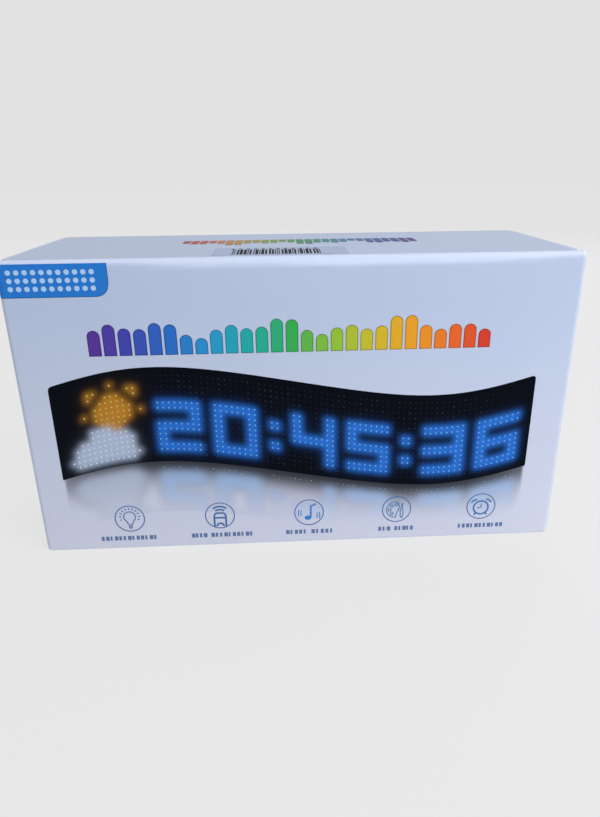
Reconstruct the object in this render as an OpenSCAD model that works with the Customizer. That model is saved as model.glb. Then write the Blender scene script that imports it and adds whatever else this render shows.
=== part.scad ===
// Printed tuck-end carton for a small lamp or display: one folded sheet of
// thin corrugated board, with a tuck lid at the top and another at the bottom,
// and a paper barcode label stuck on the top lid.
// Millimetres, +Z up, front wall facing -Y, origin on the floor under the middle.

/* [Carton] */
// Outside width, left to right
carton_w = 205; // [150:1:300]
// Outside depth, front to back
carton_d = 75; // [60:1:150]
// Outside height
carton_h = 115; // [80:1:200]

/* [Board] */
// Thickness of the board
board_t = 1.5; // [0.8:0.1:2.5]
// Inside radius of every fold
fold_inner = 0.5; // [0.2:0.1:1.5]
// Radius of the crushed outer edge along the front wall's cuts
crush_r = 1.2; // [0.3:0.1:1.4]

/* [Lids] */
// How far a lid's side edges lie inside the carton's sides
lid_inset = 1.5; // [0.5:0.1:4]
// Length of the tuck flap beyond the lid's front fold
tuck_l = 16; // [10:1:25]
// Gap between the ends of the lid's front fold and the side walls
tuck_end_gap = 1; // [0.5:0.1:5]
// How much the tuck flap is cut in from its fold at each end
tuck_step = 0.5; // [0.2:0.1:5]
// Corner radius of the tuck flap's free edge
tuck_corner_r = 8; // [2:0.5:9]

/* [Dust flaps] */
// Length of a dust flap beyond its fold
dust_l = 45; // [25:1:60]
// Straight part of a dust flap's edges next to its fold
dust_root = 6; // [2:0.5:12]
// How much a dust flap narrows along its front edge
dust_front_taper = 9; // [1:0.5:15]
// How much a dust flap narrows along its back edge
dust_back_taper = 4; // [1:0.5:15]
// Gap between a dust flap's back edge and the corner fold behind it
dust_back_gap = 1; // [1:0.1:4]
// Room left in front of a dust flap beyond the tuck flap's swing
dust_relief = 1; // [0.5:0.1:4]
// Width of the cut at each end of a dust flap's fold
dust_cut = 0.5; // [0.3:0.1:0.9]

/* [Glue flap] */
// Width of the glue flap inside the left wall
glue_w = 15; // [8:1:25]
// Full-height strip of the glue flap next to its fold
glue_root = 2; // [1:0.5:5]
// How much the glue flap is cut back at the top and the bottom
glue_cut = 8; // [4:1:15]
// Further narrowing of the glue flap towards its free edge
glue_taper = 6; // [1:1:15]

/* [Barcode label] */
// Width of the paper label
label_w = 48; // [20:1:80]
// Depth of the paper label, front to back
label_d = 17; // [10:1:40]
// Thickness of the paper label
label_t = 0.2; // [0.1:0.05:0.4]
// How far the label sits to the left of the middle
label_left = 5.5; // [0:0.5:30]
// Distance from the lid's front fold to the label
label_setback = 0.3; // [0:0.1:10]

/* [Fit] */
// Gap that a lid keeps from what it swings past
swing_gap = 0.3; // [0.2:0.05:0.6]
// Gap between a lid and the dust flaps under it
stack_gap = 0.3; // [0.2:0.05:0.6]

/* [Hidden] */
$fn = 96;
eps = 0.01;

coated_white = [0.86, 0.89, 0.96];
label_white = [0.93, 0.93, 0.92];

fold_outer = fold_inner + board_t;
half_w = carton_w / 2;
half_d = carton_d / 2;

// Centre of the fold between the back wall and the lid, and the hinge line:
// the lid turns about the outer liner, on the middle of that fold.
back_fold_y = half_d - fold_outer;
lid_fold_z = carton_h - fold_outer;
hinge_out = (fold_outer + swing_gap / 2) * sin(45);
hinge_y = back_fold_y + hinge_out;
hinge_z = lid_fold_z + hinge_out;

// The lid's front fold swings just inside the front wall.
swing_r = hinge_y + half_d - board_t - swing_gap;
hinge_drop = hinge_z - lid_fold_z;
hinge_reach = sqrt(pow(swing_r - fold_outer, 2) - pow(hinge_drop, 2));
front_fold_y = hinge_y - hinge_reach;

// The tuck flap leans in so that its tip swings on the same circle as the fold:
// lean solves  a cos(lean) + b sin(lean) = c  for a tip at radius swing_r.
lean_a = 2 * (hinge_reach * fold_outer + hinge_drop * tuck_l);
lean_b = 2 * (hinge_drop * fold_outer - hinge_reach * tuck_l);
lean_c = 2 * fold_outer * (swing_r - fold_outer) - pow(tuck_l, 2);
tuck_lean = atan2(lean_b, lean_a) + acos(lean_c / norm([lean_a, lean_b]));
tuck_inner_r = hinge_reach * cos(tuck_lean) + hinge_drop * sin(tuck_lean) + fold_inner;

// Below its fold the tuck flap's board is pressed a little thinner on each face,
// and the fold's bead laps over it by a few degrees.
crease_press = 0.02;
crease_root = 0.1;
crease_lap = 12;

// Widths of the lid's panel, hinge and tuck flap
lid_w = carton_w - 2 * lid_inset;
hinge_w = carton_w - 2 * (board_t + fold_outer);
tuck_w = carton_w - 2 * (board_t + tuck_end_gap);

// Dust flaps lie under the lid and stay clear of the tuck flap's swing.
dust_z = carton_h - board_t - stack_gap;
dust_fold_z = dust_z - fold_outer;
dust_fold_x = half_w - fold_outer;
dust_swing_r = tuck_inner_r - swing_gap;
dust_low = hinge_z - dust_z + board_t;
dust_front_y = hinge_y - sqrt(pow(dust_swing_r, 2) - pow(dust_low, 2)) + dust_relief;
dust_back_y = back_fold_y - dust_back_gap;

// The glue flap's fold lies one board inside the left wall.
glue_fold_x = -half_w + board_t + fold_outer;

// Extrudes a section drawn as (y, z) along X, centred on the middle.
module along_x(width) {
    translate([-width / 2, 0, 0])
        rotate([90, 0, 90])
            linear_extrude(width)
                children();
}

// Section of a fold about its centre, between two angles.
module fold_section(from, to) {
    reach = 2 * fold_outer;
    intersection() {
        difference() {
            circle(fold_outer);
            circle(fold_inner);
        }
        polygon([[0, 0], for (a = [from, (from + to) / 2, to]) reach * [cos(a), sin(a)]]);
    }
}

// Half of a hinge fold, cut back from the fold's middle by half the swing gap.
module half_fold(side) {
    reach = 2 * fold_outer;
    intersection() {
        fold_section(0, 90);
        rotate(45)
            translate([0, side == "lid" ? swing_gap / 2 : -swing_gap / 2 - reach])
                square(reach);
    }
}

// Copies its children to the top and, upside down, to the bottom.
module top_and_bottom() {
    children();
    translate([0, 0, carton_h])
        mirror([0, 0, 1])
            children();
}

// Copies its children to the right side and, mirrored, to the left side.
module right_and_left() {
    children();
    mirror([1, 0, 0])
        children();
}

// Upright section of the front wall, outer face at x = 0, with its cut edges crushed round.
module front_section() {
    difference() {
        square([board_t, carton_h]);
        for (end = [0, 1])
            translate([0, end * carton_h])
                mirror([0, end])
                    difference() {
                        translate([-eps, -eps])
                            square(crush_r + eps);
                        translate([crush_r, crush_r])
                            circle(crush_r);
                    }
    }
}

// Front wall: full height, up to the crease in the middle of each corner fold.
module front_wall() {
    along_x(2 * dust_fold_x)
        translate([-half_d, 0])
            front_section();
    right_and_left()
        translate([dust_fold_x, -back_fold_y, 0])
            rotate(270)
                rotate_extrude(angle = 45)
                    translate([fold_outer, 0])
                        mirror([1, 0])
                            front_section();
}

// Back wall, from the right corner fold to the glue flap's fold,
// with the body's half of each lid's hinge fold.
module back_wall() {
    translate([glue_fold_x, half_d - board_t, fold_outer])
        cube([dust_fold_x - glue_fold_x, board_t, carton_h - 2 * fold_outer]);
    top_and_bottom()
        along_x(hinge_w)
            translate([back_fold_y, lid_fold_z])
                half_fold("body");
}

// Plan of the side walls with their corner folds, the front ones from their creases on.
module side_plan() {
    right_and_left() {
        translate([half_w - board_t, -back_fold_y])
            square([board_t, 2 * back_fold_y]);
        translate([dust_fold_x, -back_fold_y])
            fold_section(300, 360);
    }
    translate([dust_fold_x, back_fold_y])
        fold_section(0, 90);
    translate([glue_fold_x, back_fold_y])
        fold_section(90, 180);
    translate([-half_w + board_t, back_fold_y - glue_root])
        square([board_t, glue_root]);
}

// Side walls, cut down to the crease where the dust flaps fold over.
module side_walls() {
    cut_w = dust_back_y - dust_front_y + 2 * dust_cut;
    difference() {
        translate([0, 0, carton_h - dust_z])
            linear_extrude(2 * dust_z - carton_h)
                side_plan();
        top_and_bottom()
            right_and_left()
                translate([dust_fold_x - eps, dust_front_y - dust_cut, dust_fold_z])
                    cube([2 * fold_outer, cut_w, 2 * fold_outer]);
    }
}

// Dust flap at the top of the right wall: its fold, and a panel that tapers to its free end.
module dust_flap() {
    translate([dust_fold_x, dust_back_y, dust_fold_z])
        rotate([90, 0, 0])
            linear_extrude(dust_back_y - dust_front_y)
                fold_section(0, 90);
    translate([dust_fold_x, 0, dust_z - board_t])
        linear_extrude(board_t)
            polygon([
                [0, dust_front_y],
                [0, dust_back_y],
                [-dust_root, dust_back_y],
                [-dust_l, dust_back_y - dust_back_taper],
                [-dust_l, dust_front_y + dust_front_taper],
                [-dust_root, dust_front_y],
            ]);
}

// Glue flap: runs on from the back wall's fold, flat against the left wall inside.
module glue_flap() {
    root_y = back_fold_y - glue_root;
    free_y = back_fold_y - glue_w;
    translate([-half_w + board_t, 0, 0])
        rotate([90, 0, 90])
            linear_extrude(board_t)
                polygon([
                    [root_y, glue_cut],
                    [root_y, carton_h - glue_cut],
                    [free_y, carton_h - glue_cut - glue_taper],
                    [free_y, glue_cut + glue_taper],
                ]);
}

// Outline of a lid's panel, with its back corners cut in to the hinge fold.
module lid_outline() {
    hinge_step = (lid_w - hinge_w) / 2;
    front_step = (lid_w - tuck_w) / 2;
    right = [
        [tuck_w / 2, front_fold_y],
        [lid_w / 2, front_fold_y + front_step],
        [lid_w / 2, back_fold_y - hinge_step],
        [hinge_w / 2, back_fold_y],
    ];
    left = [for (i = [len(right) - 1:-1:0]) [-right[i].x, right[i].y]];
    polygon(concat(right, left));
}

// Outline of a tuck flap below its fold, with a round corner at each end.
module tuck_outline() {
    half_tuck = tuck_w / 2 - tuck_step;
    difference() {
        translate([-half_tuck, -tuck_l])
            square([2 * half_tuck, tuck_l + crease_root]);
        right_and_left()
            translate([half_tuck - tuck_corner_r, -tuck_l + tuck_corner_r])
                difference() {
                    translate([0, -tuck_corner_r - eps])
                        square(tuck_corner_r + eps);
                    circle(tuck_corner_r);
                }
    }
}

// Lid at the top: panel, its half of the hinge fold, front fold and tuck flap.
module lid_board() {
    translate([0, 0, carton_h - board_t])
        linear_extrude(board_t)
            lid_outline();
    along_x(hinge_w)
        translate([back_fold_y, lid_fold_z])
            half_fold("lid");
    translate([0, front_fold_y, lid_fold_z]) {
        along_x(tuck_w)
            fold_section(90, 180 + tuck_lean + crease_lap);
        rotate([tuck_lean, 0, 0])
            translate([0, -fold_inner - crease_press, 0])
                rotate([90, 0, 0])
                    linear_extrude(board_t - 2 * crease_press)
                        tuck_outline();
    }
}

module carton_body() {
    color(coated_white) {
        front_wall();
        back_wall();
        side_walls();
        glue_flap();
        top_and_bottom()
            right_and_left()
                dust_flap();
    }
}

module top_lid() {
    color(coated_white)
        lid_board();
}

module bottom_lid() {
    color(coated_white)
        translate([0, 0, carton_h])
            mirror([0, 0, 1])
                lid_board();
}

module barcode_label() {
    color(label_white)
        translate([-label_left - label_w / 2, front_fold_y + label_setback, carton_h])
            cube([label_w, label_d, label_t]);
}

carton_body();
top_lid();
bottom_lid();
barcode_label();
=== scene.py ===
"""A printed tuck-end carton of thin corrugated board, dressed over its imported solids."""

import bpy
import numpy as np
from mathutils import Matrix, Vector


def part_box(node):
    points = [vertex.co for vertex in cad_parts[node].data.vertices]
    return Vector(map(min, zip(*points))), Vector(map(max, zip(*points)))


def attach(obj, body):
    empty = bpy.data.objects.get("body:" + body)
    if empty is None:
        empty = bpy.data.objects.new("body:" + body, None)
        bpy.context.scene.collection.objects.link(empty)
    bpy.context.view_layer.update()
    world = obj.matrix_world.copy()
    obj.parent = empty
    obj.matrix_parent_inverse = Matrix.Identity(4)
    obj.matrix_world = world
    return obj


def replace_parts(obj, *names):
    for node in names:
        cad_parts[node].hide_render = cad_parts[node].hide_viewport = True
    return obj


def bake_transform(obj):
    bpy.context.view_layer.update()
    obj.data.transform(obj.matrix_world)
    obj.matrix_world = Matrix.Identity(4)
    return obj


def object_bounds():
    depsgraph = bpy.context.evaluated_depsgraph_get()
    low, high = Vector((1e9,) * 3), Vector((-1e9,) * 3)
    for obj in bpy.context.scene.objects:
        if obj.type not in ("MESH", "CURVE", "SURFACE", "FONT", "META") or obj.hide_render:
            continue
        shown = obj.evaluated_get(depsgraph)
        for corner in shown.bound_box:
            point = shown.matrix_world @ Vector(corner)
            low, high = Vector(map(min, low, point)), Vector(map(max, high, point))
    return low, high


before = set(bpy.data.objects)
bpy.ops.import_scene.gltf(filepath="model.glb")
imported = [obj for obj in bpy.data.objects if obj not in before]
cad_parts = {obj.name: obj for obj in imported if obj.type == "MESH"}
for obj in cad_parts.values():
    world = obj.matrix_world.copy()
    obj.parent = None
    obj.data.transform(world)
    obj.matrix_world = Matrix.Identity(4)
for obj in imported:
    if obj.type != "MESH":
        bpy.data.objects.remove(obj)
cad_low, cad_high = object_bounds()
scene = bpy.context.scene
scene.view_settings.view_transform = "Standard"


# CAMERA
# A phone held close in front of the carton and a little above it. Its place, aim
# and lens come from where the front wall's corners lie in the picture.
PICTURE_W, PICTURE_H = 600, 817
FOCAL_PX = 626.2
LENS_AXIS_PX = 310
CAMERA_YAW, CAMERA_PITCH, CAMERA_ROLL = np.radians([2.75, 21.348, 0.618])
CAMERA_PLACE = (-0.00658, -0.25657, 0.14435)
SENSOR_MM = 36.0

ahead = np.array([
    np.sin(CAMERA_YAW) * np.cos(CAMERA_PITCH),
    np.cos(CAMERA_YAW) * np.cos(CAMERA_PITCH),
    -np.sin(CAMERA_PITCH),
])
level = np.array([np.cos(CAMERA_YAW), -np.sin(CAMERA_YAW), 0.0])
below = np.cross(ahead, level)
rightward = np.cos(CAMERA_ROLL) * level + np.sin(CAMERA_ROLL) * below
downward = np.cos(CAMERA_ROLL) * below - np.sin(CAMERA_ROLL) * level

camera = bpy.data.objects.new("camera", bpy.data.cameras.new("camera"))
camera.data.sensor_width = SENSOR_MM
camera.data.lens = SENSOR_MM * FOCAL_PX / PICTURE_H
camera.data.shift_x = (PICTURE_W / 2 - LENS_AXIS_PX) / PICTURE_H
camera.data.clip_start = 0.01
aim = Matrix(np.column_stack([rightward, -downward, -ahead]).tolist()).to_4x4()
camera.matrix_world = Matrix.Translation(CAMERA_PLACE) @ aim
scene.collection.objects.link(camera)
scene.camera = camera


# FLOOR AND LIGHT
# A pale sweep of matt paper in even daylight, with a broad window on the front
# right, a long strip above for the carton's upper front edge, and a dim room behind.
FLOOR_HALF, FLOOR_CELLS, FLOOR_CLOUD = 4.0, 40, 0.09
DAYLIGHT = 0.50
BACKDROP, FLOOR_FIELD = "#e2e2e2", "#e9e9e9"
FLOOR_PALENESS = 0.85


def linear(code):
    """sRGB hex to linear RGBA: c / 12.92 near black, ((c + 0.055) / 1.055) ** 2.4 above."""
    c = np.array([int(code[i:i + 2], 16) for i in (1, 3, 5)]) / 255
    straight = np.where(c <= 0.04045, c / 12.92, ((c + 0.055) / 1.055) ** 2.4)
    return (*straight.tolist(), 1.0)


def node(tree, kind, inputs, **settings):
    """Adds a node with these settings; an input is a value, or an output socket to link from."""
    made = tree.nodes.new("ShaderNode" + kind)
    for name, value in settings.items():
        setattr(made, name, value)
    for name, value in inputs.items():
        if isinstance(value, bpy.types.NodeSocket):
            tree.links.new(value, made.inputs[name])
        else:
            made.inputs[name].default_value = value
    return made.outputs


def grid_quads(index):
    """Quads between neighbouring rows and columns of a grid of vertex numbers."""
    corners = [index[:-1, :-1], index[1:, :-1], index[1:, 1:], index[:-1, 1:]]
    return np.stack(corners, axis=-1).reshape(-1, 4)


def empty_tree(owner):
    """The node tree of a new material or world, cleared."""
    owner.use_nodes = True
    owner.node_tree.nodes.clear()
    return owner.node_tree


def soft_lamp(name, place, target, size, watts):
    """A rectangular lamp of size (width, height) at place, facing target, that itself isn't seen."""
    lamp = bpy.data.lights.new(name, "AREA")
    lamp.shape = "RECTANGLE"
    lamp.size, lamp.size_y = size
    lamp.energy = watts
    made = bpy.data.objects.new(name, lamp)
    made.location = place
    made.visible_camera = made.visible_glossy = False
    made.rotation_euler = (Vector(target) - Vector(place)).to_track_quat("-Z", "Y").to_euler()
    scene.collection.objects.link(made)


def seen_ray(tree):
    """1 for rays from the camera, a gloss or a clear surface, and 0 for those that carry light."""
    ray = node(tree, "LightPath", {})
    gloss = node(tree, "Math", {0: ray["Is Glossy Ray"], 1: ray["Is Transmission Ray"]},
                 operation="MAXIMUM")
    return node(tree, "Math", {0: ray["Is Camera Ray"], 1: gloss[0]}, operation="MAXIMUM")[0]


# Even daylight on the object; what the camera and gloss see is the pale backdrop.
scene.world = bpy.data.worlds.new("daylight")
tree = empty_tree(scene.world)
light = node(tree, "Background", {"Color": (1, 1, 1, 1), "Strength": DAYLIGHT})
pale = node(tree, "Background", {"Color": linear(BACKDROP), "Strength": 1.0})
shown = node(tree, "MixShader", {0: seen_ray(tree), 1: light[0], 2: pale[0]})
node(tree, "OutputWorld", {"Surface": shown[0]})

# Matt backdrop paper: nearly white, with a faint cloudiness a hand's breadth across. The camera
# sees it mostly as an even pale field, in which the carton's shadow still shows.
floor_paper = bpy.data.materials.new("matt_backdrop_paper")
tree = empty_tree(floor_paper)
place = node(tree, "TexCoord", {})["Object"]
cloud = node(tree, "TexNoise", {"Vector": place, "Scale": 1 / FLOOR_CLOUD, "Detail": 2.0})[0]
tone = node(tree, "Mix", {0: cloud, 6: linear("#f6f6f6"), 7: linear("#f9f9f9")}, data_type="RGBA")[2]
paper = node(tree, "BsdfPrincipled",
             {"Base Color": tone, "Roughness": 0.9, "Specular IOR Level": 0.1})
field = node(tree, "Emission", {"Color": linear(FLOOR_FIELD), "Strength": 1.0})
pale = node(tree, "MixShader", {0: FLOOR_PALENESS, 1: paper[0], 2: field[0]})
shown = node(tree, "MixShader", {0: seen_ray(tree), 1: paper[0], 2: pale[0]})
node(tree, "OutputMaterial", {"Surface": shown[0]})

spread = np.linspace(-FLOOR_HALF, FLOOR_HALF, FLOOR_CELLS + 1)
floor_x, floor_y = np.meshgrid(spread, spread)
floor_points = np.stack([floor_x, floor_y, np.zeros_like(floor_x)], axis=-1).reshape(-1, 3)
floor_index = np.arange(floor_x.size).reshape(floor_x.shape)
floor_mesh = bpy.data.meshes.new("floor")
floor_mesh.from_pydata(floor_points.tolist(), [], grid_quads(floor_index.T).tolist())
floor_mesh.materials.append(floor_paper)
floor = bpy.data.objects.new("floor", floor_mesh)
scene.collection.objects.link(floor)

soft_lamp("window", (0.52, -0.50, 0.38), target=(0.06, 0, 0.03), size=(0.40, 0.30), watts=2.7)
soft_lamp("edge_strip", (0.16, -0.34, 0.66), target=(0.03, -0.03, 0.115), size=(0.6, 0.12), watts=0.7)
soft_lamp("room_behind", (0.30, 0.85, 0.66), target=(0, 0.03, 0.05), size=(0.60, 0.40), watts=3.0)


# CARTON WALLS
# One folded sheet of thin corrugated board: left, front, right and back walls and a
# glue flap behind the left wall's raw edge. Printed paper outside, grey liner inside.
MM = 0.001
CARTON_W, CARTON_D = np.round((cad_high - cad_low)[:2], 5) / MM
CARTON_H = round(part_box("top_lid")[1].z, 5) / MM
half_w, half_d = CARTON_W / 2, CARTON_D / 2
BOARD_T, LINER_SHARE, FLUTE_PITCH = 1.5, 0.2, 3.3
FOLD_R, CRUSH_R, SOFT_R = 2.0, 1.2, 0.25
# Half the flat of the front and of a side, between their corner folds.
flat_w, flat_d = half_w - FOLD_R, half_d - FOLD_R
# How deep the core lies in a raw cut and in one pressed shut, and the walk over which a cut opens.
OPEN_EDGE, SHUT_EDGE, OPEN_OVER = 0.8, 0.02, 2.0
EDGE_SLACK = 0.1
WALL_BOW = 0.35

# How many points go round a fold and round a cut's soft rim, and how close others lie to them.
FOLD_STATIONS, RIM_STATIONS, STATION_GAP = 11, 6, 0.02
SUPPORT_GAPS, SUPPORT_SHARE = np.array([0.4, 1.5, 3.0, 5.0]), 0.012
SHARP_TURN = 40

# Paper: the size of its clouding, fibre and uneven whitening, how it pales along folds and edges with wear
# and painted highlight, and how it pales towards the foot as painted light.
CLOUD_W, FIBRE_W, WHITENING_NOISE_W = 40, 0.5, 3
PAINTED_FOOT_LIGHT_PAPER, WEAR_AND_HIGHLIGHT_PAPER = "#cfd3e5", "#dae5ff"
PAINTED_FOOT_LIGHT_TOP = 98.0
FOLD_WEAR_AND_HIGHLIGHT, WEAR_AND_HIGHLIGHT_LEAST, WEAR_AND_HIGHLIGHT_MOST = 0.10, 0.80, 0.88
# The painted highlight along the front's upper edge: its depth along the edge, and its fade.
EDGE_HIGHLIGHT_ALONG = [-102, -67, -37, 0, 30, 60, 85, 102]
EDGE_HIGHLIGHT_DEPTHS = [2.2, 2.4, 3.4, 3.9, 4.3, 3.7, 3.3, 2.2]
EDGE_HIGHLIGHT_FADE = 1.6

EAR_TOP, DUST_FOLD, LID_FOLD = CARTON_H - 1.8, CARTON_H - 3.8, CARTON_H - FOLD_R
DUST_BACK, DUST_FRONT, DUST_CUT = 34.5, -32.4, 0.5
GLUE_W, GLUE_ROOT, GLUE_CUT, GLUE_TAPER, GLUE_T = 15.0, 2.0, 8.0, 6.0, 0.02

# The two axes of a board's path, and the axis of its width.
PLAN = np.array([[1, 0, 0], [0, 1, 0], [0, 0, 1.0]])
SIDE_ON = np.array([[0, 1, 0], [0, 0, 1], [1, 0, 0.0]])
FRONT_ON = np.array([[1, 0, 0], [0, 0, 1], [0, -1, 0.0]])


def paper_finish(name, tone, drift, roughness, shine, washboard, fibre, paints_foot_light=False, printed=False):
    """A paper surface: two close tones drifting into each other over CLOUD_W, paler towards the front's
    foot as painted light, whiter along folds and edges partly as wear and partly as a painted highlight,
    with waves of the flutes' pitch and a fine fibre grain pressed into it."""
    made = bpy.data.materials.new(name)
    tree = empty_tree(made)
    place = node(tree, "TexCoord", {})["Object"]
    # Fibre is about 0.05 mm across, drawn ten times coarser so that it shows at all.
    cloud, grain, whitening_noise = (
        node(tree, "TexNoise", {"Vector": place, "Scale": 1 / (size * MM), "Detail": detail})[0]
        for size, detail in ((CLOUD_W, 2.0), (FIBRE_W, 3.0), (WHITENING_NOISE_W, 4.0)))
    fold, flute = (node(tree, "Attribute", {}, attribute_name=key)["Fac"] for key in ("fold", "flute"))
    # Uneven whitening along folds and edges: partly wear, partly a painted highlight.
    uneven = node(tree, "MapRange", {0: whitening_noise, 1: 0.3, 2: 0.7, 3: WEAR_AND_HIGHLIGHT_LEAST, 4: WEAR_AND_HIGHLIGHT_MOST})[0]
    wear_and_highlight_mix = node(tree, "Math", {0: fold, 1: uneven}, operation="MULTIPLY")[0]
    layers = [(cloud, linear(drift)), (wear_and_highlight_mix, linear(WEAR_AND_HIGHLIGHT_PAPER))]
    # Painted light: the front's paper pales towards its foot.
    if paints_foot_light:
        painted_foot_light = node(tree, "Attribute", {}, attribute_name="painted_foot_light")["Fac"]
        layers.insert(1, (painted_foot_light, linear(PAINTED_FOOT_LIGHT_PAPER)))
    if printed:
        ink = node(tree, "Attribute", {}, attribute_name="ink")
        layers.append((ink["Alpha"], ink["Color"]))
    colour = linear(tone)
    for share, over in layers:
        colour = node(tree, "Mix", {0: share, 6: colour, 7: over}, data_type="RGBA")[2]
    phase = node(tree, "Math", {0: flute, 1: 2 * np.pi / (FLUTE_PITCH * MM)}, operation="MULTIPLY")[0]
    wave = node(tree, "Math", {0: phase}, operation="SINE")[0]
    waves = node(tree, "Bump", {"Height": wave, "Strength": 1.0, "Distance": washboard * MM})[0]
    relief = node(tree, "Bump", {"Height": grain, "Strength": 1.0, "Distance": fibre * MM,
                                 "Normal": waves})[0]
    shader = node(tree, "BsdfPrincipled", {"Base Color": colour, "Roughness": roughness,
                                           "Specular IOR Level": shine, "Normal": relief})
    node(tree, "OutputMaterial", {"Surface": shader[0]})
    return made


def folded_path(start, heading, parts, step=6.0):
    """The outer face of a board seen on edge, as a walk of straight runs and folds to the left.

    Each part is (run, first limits, last limits), or (run, limits) where they stay the same. A number
    runs straight for that many mm. A pair (angle, radius) turns on a circle: centre + radius
    (sin h, -cos h) for headings h over the angle. The limits (low, high) of the board's width go
    evenly from the first to the last."""
    start, heading = np.array(start, float), np.radians(heading)
    walked = 0.0
    rows = []
    for run, *limits in parts:
        first, last = np.array(limits[0], float), np.array(limits[-1], float)
        if isinstance(run, tuple):
            angle, radius = np.radians(run[0]), run[1]
            length = angle * radius
            share = np.linspace(STATION_GAP / length, 1 - STATION_GAP / length, FOLD_STATIONS)
            turn = heading + angle * share
            centre = start + radius * np.array([-np.sin(heading), np.cos(heading)])
            out = np.stack([np.sin(turn), -np.cos(turn)], axis=1)
            point = centre + radius * out
            # Folds pale towards their middle, partly as wear and partly as a painted highlight.
            fold = FOLD_WEAR_AND_HIGHLIGHT * 2 * np.abs(out[:, 0] * out[:, 1])
            heading += angle
            start = centre + radius * np.array([np.sin(heading), -np.cos(heading)])
        else:
            length = run
            edge = min(SUPPORT_GAPS[0], run / 4)
            inner = np.linspace(edge, run - edge, int(np.ceil(run / step)) + 1)
            share = np.concatenate([[STATION_GAP], inner, [run - STATION_GAP]]) / run
            onward = np.array([np.cos(heading), np.sin(heading)])
            out = np.tile([onward[1], -onward[0]], (len(share), 1))
            point = start + run * share[:, None] * onward
            fold = np.zeros(len(share))
            start = start + run * onward
        width = first + share[:, None] * (last - first)
        rows.append(np.column_stack([point, out, width, fold, walked + length * share]))
        walked += length
    table = np.concatenate(rows)
    return {
        "point": table[:, 0:2], "out": table[:, 2:4], "low": table[:, 4], "high": table[:, 5],
        "fold": table[:, 6], "walk": table[:, 7],
    }


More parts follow.
